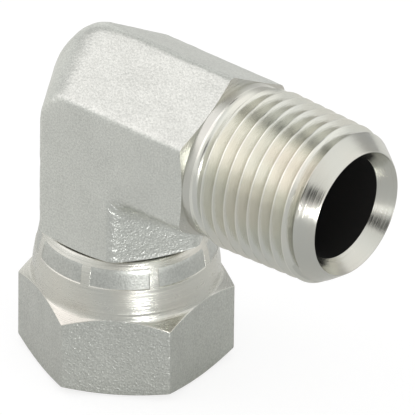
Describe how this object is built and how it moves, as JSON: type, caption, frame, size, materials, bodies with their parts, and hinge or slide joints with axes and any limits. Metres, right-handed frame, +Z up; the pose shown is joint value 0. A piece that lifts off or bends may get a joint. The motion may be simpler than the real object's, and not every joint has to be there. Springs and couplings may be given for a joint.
{
  "type": "pipe fitting",
  "caption": "Right-angle swivel pipe fitting: forged hexagon elbow with a tapered male pipe thread and a crimped-on hexagon swivel nut.",
  "frame": {"origin": "centre of the swivel nut's open face, which the fitting stands on", "axes": "+Z up along the swivel nut's axis, +X along the male arm towards its threaded end, +Y to the left of the male arm seen from the heel"},
  "size_m": [0.0494, 0.0276, 0.0468],
  "materials": {
    "elbow_steel": "zinc plated: fine-grained matt on the forged faces, satin with fine turning lines on the thread end",
    "nut_steel": "zinc plated: fine-grained matt on the hexagon, satin with fine turning lines on the neck"
  },
  "bodies": {
    "elbow_body": {"elbow": "elbow_steel"},
    "nut_body": {"swivel_nut": "nut_steel"}
  },
  "joints": [
    {"name": "nut_swivel", "type": "hinge", "parent": "elbow_body", "child": "nut_body", "pos_m": [0, 0, 0], "axis": [0, 0, 1], "continuous": true}
  ]
}
